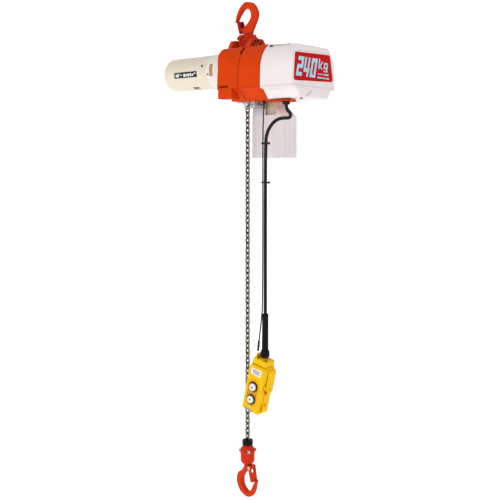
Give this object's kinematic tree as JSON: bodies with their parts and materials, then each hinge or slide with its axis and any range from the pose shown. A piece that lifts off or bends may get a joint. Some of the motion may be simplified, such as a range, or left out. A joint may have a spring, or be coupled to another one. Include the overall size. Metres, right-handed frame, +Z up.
{
  "type": "chain hoist",
  "caption": "Electric chain hoist hung from a swivel hook, with a motor drum, gear housing, control cover, chain container, wired push-button pendant and a lower load hook.",
  "frame": {"origin": "the saddle of the top hook, where it hangs on its support", "axes": "+Z up along the load line; the motor lies to -X and the control cover to +X; the pendant's buttons face -Y"},
  "size_m": [0.452, 0.172, 1.1853],
  "materials": {
    "orange_paint": "satin",
    "orange_plate": "satin",
    "bare_steel": "machined",
    "bright_steel": "zinc plated",
    "black_moulding": "matt",
    "brake_lining": "matt",
    "brush_tan": "satin",
    "black_rubber": "matt",
    "white_plastic": "satin",
    "chain_steel": "case hardened",
    "board_green": "satin",
    "cover_white": "satin",
    "button_white": "gloss",
    "block_red": "satin",
    "hook_orange": "gloss",
    "latch_red": "satin",
    "cast_sheave": "machined",
    "flange_cream": "satin",
    "motor_cream": "satin",
    "pendant_yellow": "satin",
    "core_steel": "laminated",
    "dark_screws": "blackened",
    "copper_wire": "varnished",
    "rope_dark": "sheathed"
  },
  "bodies": {
    "hook_top": {"top_hook": "hook_orange", "top_latch_pin": "bright_steel"},
    "top_latch": {"top_hook_latch": "latch_red"},
    "hoist": {"hook_yoke": "bare_steel", "motor_side_housing": "orange_paint", "gear_side_housing": "orange_paint", "housing_bolts": "bright_steel", "bottom_plate": "orange_plate", "chain_guide": "bright_steel", "motor_shell": "motor_cream", "motor_flange": "flange_cream", "brush_window": "brush_tan", "stator_core": "core_steel", "stator_windings": "copper_wire", "brush_gear": "black_moulding", "brake_coil": "black_moulding", "shaft_bearings": "bright_steel", "control_cover": "cover_white", "circuit_board": "board_green", "cable_gland": "black_moulding", "chain_on_sheave": "chain_steel", "chain_container": "white_plastic", "small_screws": "dark_screws", "pendant_front_shell": "pendant_yellow", "pendant_rear_shell": "pendant_yellow", "pendant_cap": "pendant_yellow", "pendant_boot": "black_rubber", "button_rings": "black_rubber", "switch_block": "black_moulding", "pendant_cable": "black_rubber", "strain_rope": "rope_dark", "rope_ferrules": "bright_steel", "cable_ties": "black_moulding"},
    "rotor": {"rotor_core": "core_steel", "rotor_shaft": "bare_steel", "motor_fan": "black_moulding", "brake_disc": "brake_lining"},
    "brake": {"brake_armature": "bare_steel"},
    "counter": {"countershaft": "bare_steel", "first_stage_gear": "bare_steel"},
    "sheave": {"load_sheave": "cast_sheave", "load_gear": "bare_steel"},
    "lever": {"limit_lever": "bright_steel"},
    "up": {"up_button": "button_white"},
    "down": {"down_button": "button_white"},
    "load_block": {"hook_bumper": "black_rubber", "hook_block_front": "block_red", "hook_block_rear": "block_red", "hook_block_bolts": "bright_steel", "load_chain_end": "chain_steel"},
    "lower_hook": {"load_hook": "hook_orange", "load_latch_pin": "bright_steel"},
    "lower_latch": {"load_hook_latch": "latch_red"},
    "chain_1": {"load_chain_1": "chain_steel"},
    "chain_2": {"load_chain_2": "chain_steel"},
    "chain_3": {"load_chain_3": "chain_steel"},
    "chain_4": {"load_chain_4": "chain_steel"},
    "chain_5": {"load_chain_5": "chain_steel"},
    "chain_6": {"load_chain_6": "chain_steel"},
    "chain_7": {"load_chain_7": "chain_steel"}
  },
  "joints": [
    {"name": "top_swivel", "type": "hinge", "parent": "hook_top", "child": "hoist", "pos_m": [0, 0, -0.07], "axis": [0, 0, 1], "continuous": true},
    {"name": "top_latch_hinge", "type": "hinge", "parent": "hook_top", "child": "top_latch", "pos_m": [-0.015, 0, -0.0555], "axis": [0, 1, 0], "range_deg": [0, 35], "stiffness_Nm_per_rad": 0.05, "springref_deg": -34.38},
    {"name": "rotor_spin", "type": "hinge", "parent": "hoist", "child": "rotor", "pos_m": [0, 0.0191, -0.141], "axis": [-1, 0, 0], "range_deg": [0, 65894]},
    {"name": "countershaft_spin", "type": "hinge", "parent": "hoist", "child": "counter", "pos_m": [0, -0.00477, -0.16487], "axis": [1, 0, 0], "range_deg": [0, 10139.5]},
    {"name": "sheave_spin", "type": "hinge", "parent": "hoist", "child": "sheave", "pos_m": [0, 0.0191, -0.141], "axis": [-1, 0, 0], "range_deg": [0, 2306]},
    {"name": "hook_lift", "type": "slide", "parent": "hoist", "child": "load_block", "axis": [0, 0, 1], "range_m": [0, 0.768], "deforming": ["chain_on_sheave"]},
    {"name": "chain_1_lift", "type": "slide", "parent": "hoist", "child": "chain_1", "axis": [0, 0, 1], "range_m": [0, 0.096], "deforming": ["load_chain_1"]},
    {"name": "chain_2_lift", "type": "slide", "parent": "hoist", "child": "chain_2", "axis": [0, 0, 1], "range_m": [0, 0.192], "deforming": ["load_chain_2"]},
    {"name": "chain_3_lift", "type": "slide", "parent": "hoist", "child": "chain_3", "axis": [0, 0, 1], "range_m": [0, 0.288], "deforming": ["load_chain_3"]},
    {"name": "chain_4_lift", "type": "slide", "parent": "hoist", "child": "chain_4", "axis": [0, 0, 1], "range_m": [0, 0.384], "deforming": ["load_chain_4"]},
    {"name": "chain_5_lift", "type": "slide", "parent": "hoist", "child": "chain_5", "axis": [0, 0, 1], "range_m": [0, 0.48], "deforming": ["load_chain_5"]},
    {"name": "chain_6_lift", "type": "slide", "parent": "hoist", "child": "chain_6", "axis": [0, 0, 1], "range_m": [0, 0.576], "deforming": ["load_chain_6"]},
    {"name": "chain_7_lift", "type": "slide", "parent": "hoist", "child": "chain_7", "axis": [0, 0, 1], "range_m": [0, 0.672], "deforming": ["load_chain_7"]},
    {"name": "brake_release", "type": "slide", "parent": "hoist", "child": "brake", "axis": [-1, 0, 0], "range_m": [0, 0.0004], "stiffness_N_per_m": 2000, "springref_m": -0.005},
    {"name": "limit_lever_hinge", "type": "hinge", "parent": "hoist", "child": "lever", "pos_m": [0.034, 0, -0.231], "axis": [0, 1, 0], "range_deg": [0, 3.5], "stiffness_Nm_per_rad": 0.05, "springref_deg": -22.92},
    {"name": "up_press", "type": "slide", "parent": "hoist", "child": "up", "axis": [0, 1, 0], "range_m": [0, 0.004], "stiffness_N_per_m": 400, "springref_m": -0.002},
    {"name": "down_press", "type": "slide", "parent": "hoist", "child": "down", "axis": [0, 1, 0], "range_m": [0, 0.004], "stiffness_N_per_m": 400, "springref_m": -0.002},
    {"name": "load_swivel", "type": "hinge", "parent": "load_block", "child": "lower_hook", "pos_m": [0, 0, -1.07], "axis": [0, 0, 1], "continuous": true},
    {"name": "load_latch_hinge", "type": "hinge", "parent": "lower_hook", "child": "lower_latch", "pos_m": [0.0125, 0, -1.0955], "axis": [0, 1, 0], "range_deg": [0, 35], "stiffness_Nm_per_rad": 0.05, "springref_deg": -34.38}
  ],
  "couplings": [
    {"joint": "countershaft_spin", "follows": "rotor_spin", "ratio": 0.15385},
    {"joint": "sheave_spin", "follows": "rotor_spin", "ratio": 0.034965},
    {"joint": "hook_lift", "follows": "rotor_spin", "m_per_rad": 0.00066778},
    {"joint": "chain_1_lift", "follows": "rotor_spin", "m_per_rad": 0.000083473},
    {"joint": "chain_2_lift", "follows": "rotor_spin", "m_per_rad": 0.00016695},
    {"joint": "chain_3_lift", "follows": "rotor_spin", "m_per_rad": 0.00025042},
    {"joint": "chain_4_lift", "follows": "rotor_spin", "m_per_rad": 0.00033389},
    {"joint": "chain_5_lift", "follows": "rotor_spin", "m_per_rad": 0.00041736},
    {"joint": "chain_6_lift", "follows": "rotor_spin", "m_per_rad": 0.00050084},
    {"joint": "chain_7_lift", "follows": "rotor_spin", "m_per_rad": 0.00058431}
  ]
}
